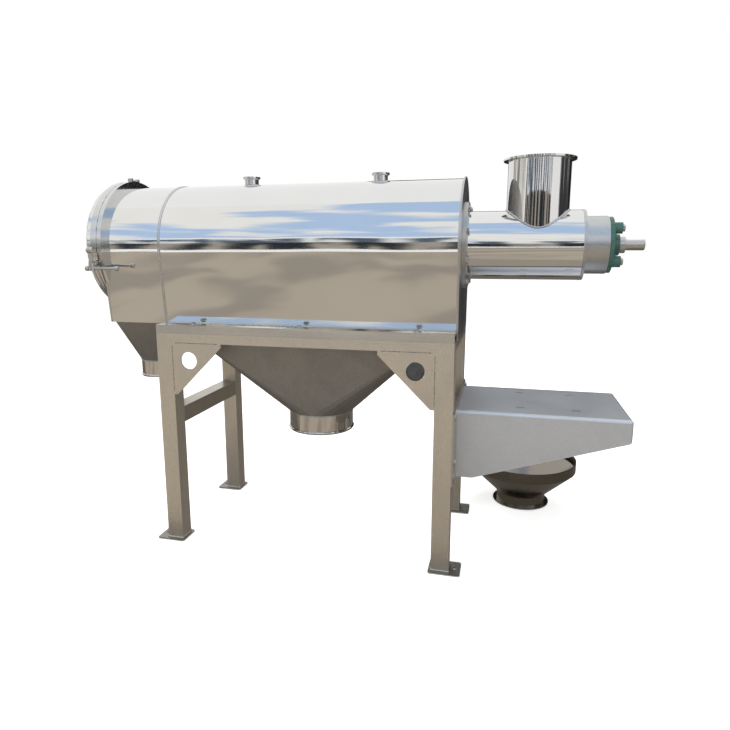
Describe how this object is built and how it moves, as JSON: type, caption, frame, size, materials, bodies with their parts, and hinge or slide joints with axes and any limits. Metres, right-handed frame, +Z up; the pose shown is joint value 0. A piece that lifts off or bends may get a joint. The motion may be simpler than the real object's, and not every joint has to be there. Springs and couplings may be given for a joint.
{
  "type": "centrifugal vibrating sieve",
  "caption": "Horizontal food-powder sieve on a legged stand: arched casing with hinged round door, side inlet with screw, two outlet hoppers, shaft end and motor bracket.",
  "frame": {"origin": "on the floor, at the middle of the four anchor holes of the stand", "axes": "+X along the rotor shaft towards the drive end, +Y to the rear side with the door hinge, +Z up"},
  "size_m": [1.927, 0.923, 1.373],
  "materials": {
    "stainless_brushed": "brushed",
    "stainless_mirror": "polished",
    "stainless_blasted": "satin",
    "foot_steel": "satin",
    "bolt_steel": "satin",
    "screen_mesh": "satin",
    "bronze": "satin",
    "shaft_steel": "turned",
    "housing_steel": "satin",
    "seal_rubber": "matte",
    "bearing_paint": "gloss",
    "bracket_satin": "satin"
  },
  "bodies": {
    "stand": {"leg_front_left": "stainless_brushed", "leg_front_right": "stainless_brushed", "leg_rear_left": "stainless_brushed", "leg_rear_right": "stainless_brushed", "foot_plates": "foot_steel", "rail_front": "stainless_brushed", "rail_rear": "stainless_brushed", "end_rail_left": "stainless_brushed", "end_rail_right": "stainless_brushed", "brace_left": "stainless_brushed", "brace_right": "stainless_brushed", "gusset_plates": "stainless_brushed", "base_channel_front": "stainless_brushed", "base_channel_rear": "stainless_brushed", "end_sills": "stainless_brushed", "base_bolts": "bolt_steel", "main_casing": "stainless_mirror", "tail_casing": "stainless_mirror", "partition_plate": "stainless_mirror", "casing_end_plate": "stainless_brushed", "door_frame": "stainless_mirror", "door_seat_ring": "stainless_mirror", "fines_hopper": "stainless_blasted", "fines_outlet": "stainless_mirror", "tails_hopper": "stainless_blasted", "tails_outlet": "stainless_mirror", "vent_ferrules": "stainless_mirror", "feed_tube": "stainless_mirror", "feed_flange": "stainless_brushed", "feed_flange_bolts": "bolt_steel", "inlet_spout": "stainless_mirror", "inlet_flange": "stainless_mirror", "screen_end_rings": "stainless_brushed", "screen_bars": "stainless_brushed", "screen_mesh": "screen_mesh", "outboard_bush": "bronze", "bearing_housing": "housing_steel", "shaft_seal": "seal_rubber", "inner_bearing": "shaft_steel", "flange_bearing": "bearing_paint", "bearing_bolts": "bolt_steel", "hinge_lugs": "stainless_mirror", "hinge_pin": "bolt_steel", "motor_bracket": "bracket_satin", "bracket_back_plate": "stainless_brushed", "bracket_bolts": "bolt_steel", "feed_funnel": "stainless_blasted"},
    "rotor": {"main_shaft": "shaft_steel", "feed_screw": "stainless_brushed", "rotor_spiders": "stainless_brushed", "rotor_paddles": "stainless_brushed", "bearing_insert": "shaft_steel"},
    "door": {"door_pan": "stainless_mirror", "door_gasket": "seal_rubber", "clamp_band": "stainless_mirror", "band_joint_bolt": "bolt_steel", "hinge_arm": "stainless_mirror"},
    "clamp_bolt": {"swing_bolt": "bolt_steel", "barrel_nut": "bolt_steel"},
    "clamp_bar": {"tommy_bar": "bolt_steel"}
  },
  "joints": [
    {"name": "rotor_turn", "type": "hinge", "parent": "stand", "child": "rotor", "pos_m": [0, 0, 1.092], "axis": [1, 0, 0], "continuous": true},
    {"name": "door_swing", "type": "hinge", "parent": "stand", "child": "door", "pos_m": [-0.742, 0.267, 1.092], "axis": [0, 0, -1], "range_deg": [0, 110]},
    {"name": "clamp_swing", "type": "hinge", "parent": "door", "child": "clamp_bolt", "pos_m": [-0.7785, -0.267, 1.079], "axis": [-1, 0, 0], "range_deg": [0, 100]},
    {"name": "clamp_bar_slide", "type": "slide", "parent": "clamp_bolt", "child": "clamp_bar", "axis": [1, 0, 0], "range_m": [-0.084, 0]}
  ]
}
